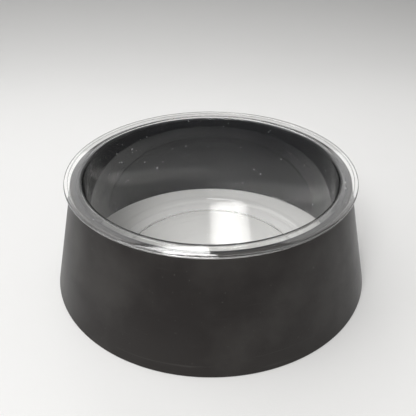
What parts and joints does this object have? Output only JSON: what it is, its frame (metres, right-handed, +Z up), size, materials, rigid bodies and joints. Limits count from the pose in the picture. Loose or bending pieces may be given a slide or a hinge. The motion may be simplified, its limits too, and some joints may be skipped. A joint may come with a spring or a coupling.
{
  "type": "hair color bowl",
  "caption": "Hair color mixing bowl: a clear drop-in cup with a wide flange, standing inside a black conical sleeve that is open at both ends.",
  "frame": {"origin": "middle of the base, on the plane that the bowl stands on", "axes": "+Z up along the common axis of the sleeve and the cup, out of the cup's mouth; both pieces are round, so +X and +Y are free"},
  "size_m": [0.1598, 0.1598, 0.057],
  "materials": {
    "sleeve_rubber": "matte black, soft touch",
    "clear_plastic": "clear, polished"
  },
  "bodies": {
    "sleeve": {"outer_sleeve": "sleeve_rubber"},
    "cup": {"clear_insert_cup": "clear_plastic"}
  },
  "joints": [
    {"name": "cup_lift", "type": "slide", "parent": "sleeve", "child": "cup", "axis": [0, 0, 1], "range_m": [0, 0.065]}
  ]
}
